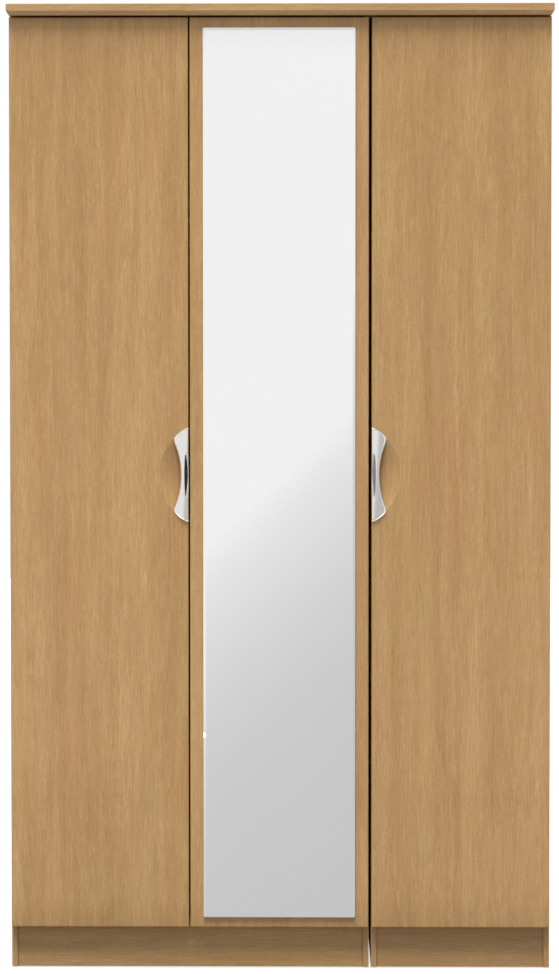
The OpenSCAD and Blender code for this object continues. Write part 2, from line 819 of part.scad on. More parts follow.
module mirror_door() {
    color(oak) door_leaf(mirror_door_x, double_door_w, xr_double, -1);
}
mirror_x = mirror_door_x + (double_door_w - mirror_w) / 2;
mirror_z = base_z + (door_h - mirror_h) / 2;
module mirror_glass() {
    y = y_door_front - mirror_tape_t;
    color(glass) block([mirror_x, y - mirror_t, mirror_z], [mirror_x + mirror_w, y, mirror_z + mirror_h]);
}
module mirror_tape() {
    tape_w = 25;
    tape_inset = 15;
    color(black_plastic)
        for (i = [0:3])
            translate([mirror_x + tape_inset + i * (mirror_w - 2 * tape_inset - tape_w) / 3, 0, 0])
                block([0, y_door_front - mirror_tape_t, mirror_z + tape_inset],
                      [tape_w, y_door_front, mirror_z + mirror_h - tape_inset]);
}
module mirror_hinge_cups() { color(nickel) at_hinges(xr_double, -1) hinge_cup(); }
module mirror_cup_screws() { color(zinc) at_hinges(xr_double, -1) cup_screws(); }
module mirror_hinge_pins() { color(zinc) at_hinges(xr_double, -1) hinge_pin(); }

module right_door() {
    color(oak)
        door_leaf(right_door_x, single_door_w, xr_single, -1)
            at_free_edge(right_door_x, 1) {
                finger_scoop();
                handle_screw_holes();
            }
}
module right_handle() { at_free_edge(right_door_x, 1) handle(); }
module right_handle_screws() {
    color(zinc) at_free_edge(right_door_x, 1) at_handle_screws() handle_screw();
}
module right_hinge_cups() { color(nickel) at_hinges(xr_single, -1) hinge_cup(); }
module right_cup_screws() { color(zinc) at_hinges(xr_single, -1) cup_screws(); }
module right_hinge_pins() { color(zinc) at_hinges(xr_single, -1) hinge_pin(); }

top_panel();
double_left_side();
double_right_side();
single_left_side();
single_right_side();
double_base();
single_base();
double_base_support();
double_plinth();
single_plinth();
double_rear_rail();
single_rear_rail();
double_top_rail();
single_top_rail();
double_back_panel();
single_back_panel();
back_panel_nails();
double_hat_shelf();
single_hat_shelf();
shelf_pins();
double_hanging_rail();
single_hanging_rail();
rail_sockets();
rail_socket_screws();
cam_locks();
cam_dowels();
carcass_spacers();
connector_sleeves();
connector_bolts();
floor_glides();
wall_brackets();
wall_bracket_screws();
door_bumpers();
hinge_plates();
hinge_plate_screws();
hinge_arms();
hinge_arm_screws();
left_door();
left_handle();
left_handle_screws();
left_hinge_cups();
left_cup_screws();
left_hinge_pins();
mirror_door();
mirror_glass();
mirror_tape();
mirror_hinge_cups();
mirror_cup_screws();
mirror_hinge_pins();
right_door();
right_handle();
right_handle_screws();
right_hinge_cups();
right_cup_screws();
right_hinge_pins();
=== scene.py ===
import json
import math

import bmesh
import bpy
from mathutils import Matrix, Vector


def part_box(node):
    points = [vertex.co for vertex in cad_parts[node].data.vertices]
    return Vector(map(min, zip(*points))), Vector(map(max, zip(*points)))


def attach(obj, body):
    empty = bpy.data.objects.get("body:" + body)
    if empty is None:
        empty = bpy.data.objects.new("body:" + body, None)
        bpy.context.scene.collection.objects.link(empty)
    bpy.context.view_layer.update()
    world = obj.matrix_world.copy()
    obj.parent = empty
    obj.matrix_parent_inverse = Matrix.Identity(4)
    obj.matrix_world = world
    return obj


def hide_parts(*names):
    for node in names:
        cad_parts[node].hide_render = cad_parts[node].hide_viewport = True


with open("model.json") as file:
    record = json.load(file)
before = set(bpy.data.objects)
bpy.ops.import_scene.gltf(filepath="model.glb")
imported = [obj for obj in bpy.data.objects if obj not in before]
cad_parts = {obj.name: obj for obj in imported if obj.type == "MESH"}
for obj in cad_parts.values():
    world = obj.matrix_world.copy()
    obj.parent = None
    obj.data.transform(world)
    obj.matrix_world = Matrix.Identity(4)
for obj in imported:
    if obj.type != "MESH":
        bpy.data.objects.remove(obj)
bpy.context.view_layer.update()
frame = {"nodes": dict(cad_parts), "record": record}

MM = 0.001
SLOT_OF = {s["node"]: s["material_slot"] for s in frame["record"]["subparts"]}


# ---------- places taken from the frame ----------

LEFT_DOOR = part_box("left_door")
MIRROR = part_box("mirror_glass")
LEFT_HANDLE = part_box("left_handle")
HANDLE_Z = (LEFT_HANDLE[0].z + LEFT_HANDLE[1].z) / 2
Y_DOOR_FRONT = LEFT_DOOR[0].y


# ---------- camera ----------

def add_camera():
    """A long lens well in front of the doors, a little to the right, turned slightly left and down."""
    distance, right, height = 6.833, 0.087, 1.251
    yaw, pitch, roll = 0.0129, 0.0381, 0.0002
    data = bpy.data.cameras.new("camera")
    data.sensor_width = 36
    data.lens = 124.04
    data.clip_start, data.clip_end = 0.1, 60
    camera = bpy.data.objects.new("camera", data)
    bpy.context.scene.collection.objects.link(camera)
    camera.location = (right, Y_DOOR_FRONT - distance, height)
    camera.rotation_euler = (math.pi / 2 - pitch, roll, yaw)
    bpy.context.scene.camera = camera


# ---------- node helpers ----------

def new_material(name):
    """A new material with its node tree and its Principled shader."""
    material = bpy.data.materials.new(name)
    material.use_nodes = True
    nodes = material.node_tree.nodes
    return material, nodes, material.node_tree.links, nodes["Principled BSDF"]


def noise_at(nodes, links, vector, scale, detail=2.0, rough=0.5, distortion=0.0):
    """Noise between 0 and 1 at a vector."""
    node = nodes.new("ShaderNodeTexNoise")
    node.inputs["Scale"].default_value = scale
    node.inputs["Detail"].default_value = detail
    node.inputs["Roughness"].default_value = rough
    node.inputs["Distortion"].default_value = distortion
    links.new(vector, node.inputs["Vector"])
    return node.outputs["Fac"]


def mapped(nodes, links, scale, offset=(0, 0, 0), turn=(0, 0, 0)):
    """Object coordinates, in metres, moved, turned and scaled."""
    coordinates = nodes.new("ShaderNodeTexCoord")
    mapping = nodes.new("ShaderNodeMapping")
    mapping.inputs["Scale"].default_value = scale
    mapping.inputs["Location"].default_value = offset
    mapping.inputs["Rotation"].default_value = turn
    links.new(coordinates.outputs["Object"], mapping.inputs["Vector"])
    return mapping.outputs["Vector"]


def ramp(nodes, links, factor, stops):
    """A colour ramp through (position, colour) stops; a colour may be one grey value."""
    node = nodes.new("ShaderNodeValToRGB")
    elements = node.color_ramp.elements
    while len(elements) < len(stops):
        elements.new(0.5)
    for element, (position, colour) in zip(elements, stops):
        rgb = (colour,) * 3 if isinstance(colour, (int, float)) else colour
        element.position = position
        element.color = (*rgb, 1)
    links.new(factor, node.inputs["Fac"])
    return node.outputs["Color"]


def math_node(nodes, links, operation, a, b):
    """A maths node on two values, each a number or another node's output."""
    node = nodes.new("ShaderNodeMath")
    node.operation = operation
    for socket, value in zip(node.inputs, (a, b)):
        if isinstance(value, (int, float)):
            socket.default_value = value
        else:
            links.new(value, socket)
    return node.outputs[0]


def mix_colour(nodes, links, blend, factor, a, b):
    """A mix of two colours, each a colour or another node's output."""
    node = nodes.new("ShaderNodeMix")
    node.data_type = "RGBA"
    node.blend_type = blend
    for socket_name, value in (("Factor", factor), ("A", a), ("B", b)):
        socket = node.inputs[socket_name]
        if isinstance(value, (int, float)):
            socket.default_value = value
        elif isinstance(value, tuple):
            socket.default_value = (*value, 1)
        else:
            links.new(value, socket)
    return node.outputs["Result"]


def bump(nodes, links, shader, height, strength, distance):
    """Adds fine relief to a shader."""
    node = nodes.new("ShaderNodeBump")
    node.inputs["Strength"].default_value = strength
    node.inputs["Distance"].default_value = distance
    links.new(height, node.inputs["Height"])
    links.new(node.outputs["Normal"], shader.inputs["Normal"])


# ---------- materials ----------

OAK_ROUGHNESS = 0.46
WANDER = 0.016          # how far the grain lines stray sideways, in metres
OAK_DARK = (0.333, 0.175, 0.061)
OAK_MID = (0.456, 0.266, 0.105)
OAK_LIGHT = (0.605, 0.384, 0.172)
OAK_TINTS = ((0.30, (1.018, 0.982, 0.985)), (0.5, (1.0, 1.0, 1.0)), (0.70, (0.985, 1.014, 0.985)))
RING_TONES = ((0.0, 0.30), (0.13, 0.80), (0.45, 0.58), (1.0, 0.30))


def oak(name, along, shift):
    """Printed natural-oak foil: rings in long flames, streaks, short fibres and open pores."""
    material, nodes, links, shader = new_material(name)
    turn = (0, 0, 0) if along == "z" else (0, math.pi / 2, 0)
    board = mapped(nodes, links, (1, 1, 1), shift, turn)
    wander = nodes.new("ShaderNodeTexNoise")
    wander.inputs["Scale"].default_value = 1.0
    wander.inputs["Detail"].default_value = 2.0
    links.new(stretched(nodes, links, board, 9, 2.2), wander.inputs["Vector"])
    offset = nodes.new("ShaderNodeVectorMath")
    offset.operation = "MULTIPLY_ADD"
    links.new(wander.outputs["Color"], offset.inputs[0])
    offset.inputs[1].default_value = (WANDER, WANDER, 0)
    links.new(board, offset.inputs[2])
    grain = offset.outputs[0]

    def layer(across, length, detail=3.0, rough_detail=0.55, distortion=0.0):
        """Noise with so many features per metre across the grain and along it."""
        return noise_at(nodes, links, stretched(nodes, links, grain, across, length), 1.0, detail,
                        rough_detail, distortion)

    height = layer(7.5, 0.75, 1.5, 0.45, 0.3)
    flames = ramp(nodes, links, sawtooth(nodes, links, height, 11), RING_TONES)
    rings = ramp(nodes, links, sawtooth(nodes, links, height, 47), RING_TONES)
    parts = ((flames, 0.17), (rings, 0.15), (layer(18, 1.1, 2.0), 0.56), (layer(60, 3.2), 0.46),
             (layer(230, 11), 0.40), (layer(620, 30, 2.0, 0.6), 0.86), (layer(420, 240, 2.0), 0.52))
    tone = None
    for value, weight in parts:
        centred = math_node(nodes, links, "SUBTRACT", value, 0.5)
        part = math_node(nodes, links, "MULTIPLY", centred, weight)
        tone = part if tone is None else math_node(nodes, links, "ADD", tone, part)
    tone = math_node(nodes, links, "ADD", tone, 0.5)
    colour = ramp(nodes, links, tone, ((0.0, OAK_DARK), (0.5, OAK_MID), (1.0, OAK_LIGHT)))
    tint = ramp(nodes, links, layer(17, 3.2, 2.5), OAK_TINTS)
    colour = mix_colour(nodes, links, "MULTIPLY", 1.0, colour, tint)
    pores = layer(1500, 55, 2.0, 0.5)
    pore_lines = ramp(nodes, links, pores, ((0.30, 0.80), (0.42, 1.0)))
    colour = mix_colour(nodes, links, "MULTIPLY", 0.5, colour, pore_lines)
    links.new(colour, shader.inputs["Base Color"])
    shader.inputs["Specular IOR Level"].default_value = 0.35
    sheen = ((0.3, OAK_ROUGHNESS + 0.05), (0.7, OAK_ROUGHNESS - 0.05))
    links.new(ramp(nodes, links, pores, sheen), shader.inputs["Roughness"])
    bump(nodes, links, shader, pore_lines, 0.35, 0.00006)
    return material


def sawtooth(nodes, links, value, count):
    """Rises from 0 to 1 again and again, count times for each unit of the value."""
    return math_node(nodes, links, "FRACT", math_node(nodes, links, "MULTIPLY", value, count), 0)


def stretched(nodes, links, vector, across, length):
    """The vector scaled by one factor across the grain and another along it."""
    mapping = nodes.new("ShaderNodeMapping")
    mapping.inputs["Scale"].default_value = (across, across, length)
    links.new(vector, mapping.inputs["Vector"])
    return mapping.outputs["Vector"]


def chrome():
    """Polished chrome on a casting: a warm grey, faintly hazy here and there and hardly wavy."""
    material, nodes, links, shader = new_material("chrome")
    shader.inputs["Metallic"].default_value = 1
    place = mapped(nodes, links, (1, 1, 1))
    haze = noise_at(nodes, links, place, 90, 3.0)
    links.new(ramp(nodes, links, haze, ((0.35, 0.07), (0.7, 0.12))), shader.inputs["Roughness"])
    links.new(ramp(nodes, links, haze, ((0.3, (0.80, 0.765, 0.735)), (0.7, (0.84, 0.805, 0.775)))),
              shader.inputs["Base Color"])
    bump(nodes, links, shader, noise_at(nodes, links, place, 35, 1.0), 0.06, 0.0003)
    return material


def plated(name, light, dark, rough):
    """Zinc or nickel plated pressed steel: faint rolling lines and a cloudy sheen."""
    material, nodes, links, shader = new_material(name)
    shader.inputs["Metallic"].default_value = 1
    clouds = noise_at(nodes, links, mapped(nodes, links, (1, 1, 1)), 70, 4.0)
    lines = noise_at(nodes, links, mapped(nodes, links, (1, 1, 0.06)), 1560, 2.0)
    links.new(ramp(nodes, links, clouds, ((0.3, dark), (0.7, light))), shader.inputs["Base Color"])
    both = math_node(nodes, links, "ADD", math_node(nodes, links, "MULTIPLY", clouds, 0.5),
                     math_node(nodes, links, "MULTIPLY", lines, 0.5))
    links.new(ramp(nodes, links, both, ((0.3, rough - 0.08), (0.7, rough + 0.1))),
              shader.inputs["Roughness"])
    bump(nodes, links, shader, lines, 0.12, 0.00005)
    return material


def moulded(name, colour, rough, grain_size=900):
    """Moulded plastic or rubber with a fine spark-eroded grain."""
    material, nodes, links, shader = new_material(name)
    fine = noise_at(nodes, links, mapped(nodes, links, (1, 1, 1)), grain_size, 2.0)
    broad = noise_at(nodes, links, mapped(nodes, links, (1, 1, 1)), 40, 2.0)
    low = tuple(c * 0.86 for c in colour)
    links.new(ramp(nodes, links, broad, ((0.35, low), (0.65, colour))), shader.inputs["Base Color"])
    links.new(ramp(nodes, links, fine, ((0.3, rough - 0.06), (0.7, rough + 0.06))),
              shader.inputs["Roughness"])
    bump(nodes, links, shader, fine, 0.25, 0.00008)
    return material


def hardboard():
    """Pressed fibreboard with a pale printed face: short tangled fibres and a slight mottle."""
    material, nodes, links, shader = new_material("hardboard")
    fibres = noise_at(nodes, links, mapped(nodes, links, (1, 1, 0.35)), 700, 4.0, 0.7, 1.2)
    mottle = noise_at(nodes, links, mapped(nodes, links, (1, 1, 1)), 22, 3.0)
    base = ramp(nodes, links, fibres, ((0.3, (0.33, 0.21, 0.115)), (0.7, (0.46, 0.315, 0.18))))
    tint = ramp(nodes, links, mottle, ((0.3, 0.955), (0.7, 1.0)))
    links.new(mix_colour(nodes, links, "MULTIPLY", 1.0, base, tint), shader.inputs["Base Color"])
    links.new(ramp(nodes, links, fibres, ((0.3, 0.62), (0.7, 0.74))), shader.inputs["Roughness"])
    bump(nodes, links, shader, fibres, 0.2, 0.0001)
    return material


def silvered_glass():
    """The silvered face of the mirror, seen through clear glass."""
    material, nodes, links, shader = new_material("mirror")
    shader.inputs["Metallic"].default_value = 1
    film = noise_at(nodes, links, mapped(nodes, links, (1, 1, 0.6)), 3.0, 2.0)
    silver = ((0.3, (0.925, 0.917, 0.920)), (0.7, (0.935, 0.928, 0.930)))
    links.new(ramp(nodes, links, film, silver), shader.inputs["Base Color"])
    links.new(ramp(nodes, links, film, ((0.3, 0.004), (0.7, 0.012))), shader.inputs["Roughness"])
    return material


# ---------- mesh helpers ----------

def add_object(name, mesh, body, material):
    """Puts a mesh in the scene, riding on a body and showing a material slot."""
    piece = bpy.data.objects.new(name, mesh)
    bpy.context.scene.collection.objects.link(piece)
    piece.data.materials.append(material)
    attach(piece, body)
    return piece


def finished_mesh(name, shape, sharp_degrees=35):
    """Turns a bmesh into a mesh with outward normals, smooth but for its sharp edges."""
    bmesh.ops.recalc_face_normals(shape, faces=shape.faces)
    mesh = bpy.data.meshes.new(name)
    shape.to_mesh(mesh)
    shape.free()
    mesh.shade_smooth()
    mesh.set_sharp_from_angle(angle=math.radians(sharp_degrees))
    return mesh


def spaced(start, end, step):
    """Values from start to end, at most a step apart, both ends included."""
    count = max(1, math.ceil(abs(end - start) / step - 1e-9))
    return [start + (end - start) * i / count for i in range(count + 1)]


def merged(values):
    """Sorted values without near repeats."""
    result = []
    for value in sorted(values):
        if not result or value - result[-1] > 1e-5:
            result.append(value)
    return result


# ---------- doors ----------

EDGE_R = 2.5 * MM
BACK_CHAMFER = 0.5 * MM
SCOOP_OUTLINE_R = 101 * MM
SCOOP_R = 370 * MM
SCOOP_BEYOND = 41 * MM
SCOOP_FADE = 12 * MM
SCOOP_GRID_W = 64 * MM
SCOOP_GRID_HALF_H = 97 * MM
RIM_SOFTNESS = 0.16 * MM
GRID_X, GRID_Z = 45 * MM, 60 * MM
SCOOP_GRID_X, SCOOP_GRID_Z = 1.6 * MM, 1.9 * MM
CUP_R = 17.5 * MM
CUP_DEPTH = 12.5 * MM
CUP_FROM_EDGE = 20.5 * MM
HINGES = 4
HINGE_FROM_END = 100 * MM


def scoop_depth(x, z, middle_x):
    """How deep the finger scoop is at a point of the door's face, with a softened rim."""
    d = math.hypot(x - middle_x, z - HANDLE_Z)
    if d > SCOOP_OUTLINE_R + SCOOP_FADE:
        return 0.0
    flat = math.sqrt(SCOOP_R ** 2 - SCOOP_OUTLINE_R ** 2)
    f = math.sqrt(max(SCOOP_R ** 2 - d * d, 0)) - flat
    soft = 0.5 * (f + math.sqrt(f * f + RIM_SOFTNESS ** 2))
    far = -0.5 * (flat - math.sqrt(SCOOP_R ** 2 - (SCOOP_OUTLINE_R + SCOOP_FADE) ** 2))
    tail = far + 0.5 * math.sqrt(4 * far * far + RIM_SOFTNESS ** 2)
    return max(0.0, soft - tail)


def rounded_place(x, z, low, high):
    """A grid point pulled onto the door's rounded outline, and how far its front has rolled back."""
    a = max(low.x + EDGE_R - x, x - high.x + EDGE_R, 0.0)
    b = max(low.z + EDGE_R - z, z - high.z + EDGE_R, 0.0)
    reach = math.hypot(a, b)
    if reach > EDGE_R:
        scale = EDGE_R / reach
        x += math.copysign(a * (1 - scale), (low.x + high.x) / 2 - x)
        z += math.copysign(b * (1 - scale), (low.z + high.z) / 2 - z)
        reach = EDGE_R
    return x, z, EDGE_R - math.sqrt(max(EDGE_R ** 2 - reach ** 2, 0.0))


def door_leaf(name, node, body, hinge_side, scoop_side, material):
    """A foil-wrapped door: rolled front edges, a finger scoop at its free edge, bored hinge cups."""
    low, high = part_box(node)
    rolls = [EDGE_R * (1 - math.cos(math.radians(a))) for a in range(0, 91, 15)]
    xs = [low.x + r for r in rolls] + [high.x - r for r in rolls]
    xs += spaced(low.x + EDGE_R, high.x - EDGE_R, GRID_X)
    zs = [low.z + r for r in rolls] + [high.z - r for r in rolls]
    zs += spaced(low.z + EDGE_R, high.z - EDGE_R, GRID_Z)
    middle_x = None
    if scoop_side:
        free_x = high.x if scoop_side > 0 else low.x
        middle_x = free_x + scoop_side * SCOOP_BEYOND
        xs += [free_x - scoop_side * u for u in spaced(EDGE_R, SCOOP_GRID_W, SCOOP_GRID_X)]
        bottom, top = HANDLE_Z - SCOOP_GRID_HALF_H, HANDLE_Z + SCOOP_GRID_HALF_H
        zs += spaced(bottom, top, SCOOP_GRID_Z)
    xs, zs = merged(xs), merged(zs)

    shape = bmesh.new()
    grid = []
    for z in zs:
        row = []
        for x in xs:
            px, pz, roll = rounded_place(x, z, low, high)
            depth = roll + (scoop_depth(px, pz, middle_x) if scoop_side else 0.0)
            row.append(shape.verts.new((px, low.y + depth, pz)))
        grid.append(row)
    for lower, upper in zip(grid, grid[1:]):
        for i in range(len(xs) - 1):
            shape.faces.new((lower[i], lower[i + 1], upper[i + 1], upper[i]))

    rim = grid[0] + [row[-1] for row in grid[1:]] + grid[-1][-2::-1]
    rim += [row[0] for row in grid[-2:0:-1]]
    wall = [shape.verts.new((v.co.x, high.y - BACK_CHAMFER, v.co.z)) for v in rim]
    centre = Vector(((low.x + high.x) / 2, 0, (low.z + high.z) / 2))

    def inset(v):
        return (v.co.x + math.copysign(BACK_CHAMFER, centre.x - v.co.x), high.y,
                v.co.z + math.copysign(BACK_CHAMFER, centre.z - v.co.z))
    back = [shape.verts.new(inset(v)) for v in rim]
    loops = ((rim, wall), (wall, back))
    count = len(rim)
    for front_loop, back_loop in loops:
        for i in range(count):
            j = (i + 1) % count
            shape.faces.new((front_loop[i], front_loop[j], back_loop[j], back_loop[i]))
    edges = [shape.edges.get((back[i], back[(i + 1) % count])) for i in range(count)]

    cup_x = low.x + CUP_FROM_EDGE if hinge_side < 0 else high.x - CUP_FROM_EDGE
    for cup_z in hinge_heights(node):
        edges += bored_hole(shape, cup_x, high.y, cup_z)
    bmesh.ops.triangle_fill(shape, use_beauty=True, use_dissolve=False, edges=edges,
                            normal=Vector((0, 1, 0)))
    piece = add_object(name, finished_mesh(name, shape), body, material)
    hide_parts(node)


def bored_hole(shape, x, y, z):
    """The wall and bottom of a hinge cup's bore; returns the edges round its mouth."""
    steps = 48
    rings = []
    for depth in (0, CUP_DEPTH):
        rings.append([shape.verts.new((x + CUP_R * math.cos(2 * math.pi * i / steps), y - depth,
                                       z + CUP_R * math.sin(2 * math.pi * i / steps)))
                      for i in range(steps)])
    for i in range(steps):
        j = (i + 1) % steps
        shape.faces.new((rings[0][i], rings[0][j], rings[1][j], rings[1][i]))
    shape.faces.new(rings[1])
    return [shape.edges.get((rings[0][i], rings[0][(i + 1) % steps])) for i in range(steps)]


def hinge_heights(node):
    """The heights of a door's hinges: the outer ones 100 mm from its ends, the rest evenly between."""
    low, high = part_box(node)
    first, last = low.z + HINGE_FROM_END, high.z - HINGE_FROM_END
    return [first + (last - first) * i / (HINGES - 1) for i in range(HINGES)]


# ---------- handles ----------

# Sizes in millimetres. Across the bow, u runs from the door's free edge; along it, z from its middle
HANDLE_L = 96.4
WAIST_W = 16.4
HOLLOW_R = 173.0
END_R = 48.0
END_MIDDLE_U = -11.6
CORNER_BLEND = 8.4
CROWN = 7.0
RIM_H = 0.9
LENS_HALF_L = 44.2
LENS_TIP_U = 5.2
LENS_OUT = 4.2
LENS_IN = 3.1
LENS_OUT_POWER = 1.3
LENS_IN_POWER = 0.5
LENS_SLOPE = 0.82
LENS_FULL_W = 9.5
CREST_U = 9.0
ACROSS_SPAN = 70.0
ACROSS_FALL = 38.0
LIP_W = 4.5
LIP_END = 7.0
EDGE_ROLL = 0.9
TIP_W = 0.6
THINNEST = 0.5
UNDER_MIDDLE = 3.4

# Away from its middle the crown falls by z * z / CROWN_FALL and the undercut by z * z / UNDER_FALL
CROWN_FALL = 3000.0
UNDER_FALL = 1210.0
LIP_END_STEEPNESS = 1.15

# Columns across the bow, and the rows' last angle and step along it
OUTER_STEPS = (0.0, 0.12, 0.3, 0.55, 0.8, 1.0)
LENS_STEPS = 6
LIP_STEPS = 18
LAST_ANGLE, ANGLE_STEP = 89.2, 1.1
LENS_OUTER_COLUMN = len(OUTER_STEPS) - 1
LENS_INNER_COLUMN = LENS_OUTER_COLUMN + LENS_STEPS


def handle_width(z):
    """Width of the bow at a height: round ends to the horns, a hollow to the waist."""
    end_middle_z = HANDLE_L - math.sqrt(END_R ** 2 - END_MIDDLE_U ** 2)
    beyond = max(0.0, abs(z) - end_middle_z)
    end = END_MIDDLE_U + math.sqrt(max(0.0, END_R ** 2 - beyond ** 2))
    hollow = WAIST_W + HOLLOW_R - math.sqrt(HOLLOW_R ** 2 - z * z)
    near = max(CORNER_BLEND - abs(end - hollow), 0.0)
    return min(end, hollow) - near ** 2 / (4 * CORNER_BLEND)


def lens_edges(z):
    """Where the lens-shaped facet starts and ends across the bow; nothing past its tips."""
    f = max(0.0, 1 - (z / LENS_HALF_L) ** 2)
    return LENS_TIP_U - LENS_OUT * f ** LENS_OUT_POWER, LENS_TIP_U + LENS_IN * f ** LENS_IN_POWER


def handle_front(u, z, width):
    """Height of the bow's front face above the door: a low crown, with a soft lip at its edges."""
    along = CROWN - z * z / CROWN_FALL
    across = ((u - CREST_U) / ACROSS_SPAN) ** 2 * ACROSS_FALL
    end_gap = (HANDLE_L - abs(z)) * LIP_END_STEEPNESS
    lip = min(1.0, max(0.0, min((width - u) / LIP_W, end_gap / LIP_END)))
    pillow = math.sqrt(max(0.0, 1 - (1 - lip) ** 2))
    edge = min(1.0, u / EDGE_ROLL)
    roll = EDGE_ROLL * (1 - math.sqrt(max(0.0, 1 - (1 - edge) ** 2)))
    return RIM_H + (along - across - RIM_H) * pillow - roll * min(1.0, pillow * 2)


def across_places(width, lens_out, lens_in):
    """Columns across the bow: close at the outer edge, at the facet's two edges and at the lip."""
    squeeze = min(1.0, width / LENS_FULL_W)
    out, crest = lens_out * squeeze, lens_in * squeeze
    places = [out * t for t in OUTER_STEPS]
    places += [out + (crest - out) * i / LENS_STEPS for i in range(1, LENS_STEPS + 1)]
    quarter = math.pi / 2
    return places + [crest + (width - crest) * math.sin(quarter * i / LIP_STEPS)
                     for i in range(1, LIP_STEPS + 1)]


def bow_handle(name, node, body, side, material):
    """A cast bow handle: horns on the door's face, a waist over the scoop, a lens-shaped facet."""
    low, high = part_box(node)
    free_x = high.x if side > 0 else low.x
    angles = spaced(-LAST_ANGLE, LAST_ANGLE, ANGLE_STEP)
    zs = [HANDLE_L * math.sin(math.radians(a)) for a in angles]
    shape = bmesh.new()
    fronts, backs = [], []
    for z in zs:
        width = max(handle_width(z), TIP_W)
        lens_out, lens_in = lens_edges(z)
        us = across_places(width, lens_out, lens_in)
        lens_outer_u, lens_inner_u = us[LENS_OUTER_COLUMN], us[LENS_INNER_COLUMN]
        crest_h = handle_front(lens_inner_u, z, width)
        front, back = [], []
        for u in us:
            h = handle_front(u, z, width)
            if u < lens_inner_u and abs(z) < LENS_HALF_L:
                h = min(h, crest_h - LENS_SLOPE * (lens_inner_u - max(u, lens_outer_u)))
            under = min(max(0.0, UNDER_MIDDLE - z * z / UNDER_FALL), h - THINNEST)
            x, height = free_x - side * u * MM, HANDLE_Z + z * MM
            front.append(shape.verts.new((x, Y_DOOR_FRONT - h * MM, height)))
            back.append(shape.verts.new((x, Y_DOOR_FRONT - under * MM, height)))
        fronts.append(front)
        backs.append(back)
    columns = len(fronts[0])
    for k in range(len(zs) - 1):
        for i in range(columns - 1):
            for grid in (fronts, backs):
                shape.faces.new((grid[k][i], grid[k][i + 1], grid[k + 1][i + 1], grid[k + 1][i]))
        for i in (0, columns - 1):
            shape.faces.new((fronts[k][i], fronts[k + 1][i], backs[k + 1][i], backs[k][i]))
    for k in (0, len(zs) - 1):
        for i in range(columns - 1):
            shape.faces.new((fronts[k][i], fronts[k][i + 1], backs[k][i + 1], backs[k][i]))
    mesh = finished_mesh(name, shape, sharp_degrees=24)
    piece = add_object(name, mesh, body, material)
    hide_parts(node)


# ---------- mirror ----------

def rounded_outline(low, high, inset, radius, y, steps=6):
    """Points round a rectangle in X and Z with rounded corners."""
    points = []
    r = max(radius - inset, 0.2 * MM)
    left, right = low.x + inset + r, high.x - inset - r
    bottom, top = low.z + inset + r, high.z - inset - r
    corners = ((right, top, 0), (left, top, 90), (left, bottom, 180), (right, bottom, 270))
    for x, z, start in corners:
        for i in range(steps + 1):
            a = math.radians(start + 90 * i / steps)
            points.append((x + r * math.cos(a), y, z + r * math.sin(a)))
    return points


def mirror_glass(materials):
    """The mirror: a flat silvered face inside a ground bevel, polished edges and a painted back."""
    low, high = MIRROR
    bevel_w, bevel_d, corner, arris = 5 * MM, 0.2 * MM, 3 * MM, 0.4 * MM
    levels = ((arris, high.y), (0.0, high.y - arris), (0.0, low.y + bevel_d), (bevel_w, low.y))
    shape = bmesh.new()
    rings = [[shape.verts.new(p) for p in rounded_outline(low, high, inset, corner, y)]
             for inset, y in levels]
    count = len(rings[0])
    for a, b in zip(rings, rings[1:]):
        for i in range(count):
            j = (i + 1) % count
            shape.faces.new((a[i], a[j], b[j], b[i]))
    shape.faces.new(rings[0])
    shape.faces.new(rings[-1])
    mesh = finished_mesh("mirror_face", shape, sharp_degrees=1)
    piece = add_object("mirror_face", mesh, "mirror_door",
                       materials["mirror"])
    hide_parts("mirror_glass")


# ---------- CAD nodes ----------

# The rounding of each material's edges, in millimetres
BEVELS = {"carcass_foil": 0.8, "inside_foil": 0.6, "hardboard": 0.2, "chrome": 0.25,
          "foam_tape": 0.1, "black_plastic": 0.3, "clear_plastic": 0.3, "nickel_steel": 0.22,
          "zinc_steel": 0.15}


def soften_edges(node_object, width):
    """Joins the split vertices, merges flat facets and rounds the sharp edges with even shading."""
    weld = node_object.modifiers.new("weld", "WELD")
    weld.merge_threshold = 1e-5
    flatten = node_object.modifiers.new("flatten", "DECIMATE")
    flatten.decimate_type = "DISSOLVE"
    flatten.angle_limit = math.radians(0.5)
    round_off = node_object.modifiers.new("round", "BEVEL")
    round_off.offset_type = "WIDTH"
    round_off.width = width * math.sqrt(2)
    round_off.segments = 2
    round_off.limit_method = "ANGLE"
    round_off.angle_limit = math.radians(40)
    round_off.use_clamp_overlap = False
    round_off.harden_normals = True


def finish_cad_nodes(materials):
    """Gives every CAD node that is shown its material and softer edges."""
    for i, (node, node_object) in enumerate(sorted(frame["nodes"].items())):
        if node_object.hide_render:
            continue
        slot = SLOT_OF[node]
        if slot in ("carcass_foil", "inside_foil"):
            along = "z" if node.endswith("_side") else "x"
            shift = (0.37 * i, 0.21 * i, 0.53 * i)
            material = oak(node + "_oak", along, shift)
        else:
            material = materials[slot]
        node_object.data.materials.clear()
        node_object.data.materials.append(material)
        soften_edges(node_object, BEVELS[slot] * MM)


# ---------- stage ----------

def plane(name, corners, material):
    """A staged four-cornered sheet."""
    mesh = bpy.data.meshes.new(name)
    mesh.from_pydata(corners, [], [(0, 1, 2, 3)])
    mesh.materials.append(material)
    piece = bpy.data.objects.new(name, mesh)
    bpy.context.scene.collection.objects.link(piece)
    return piece


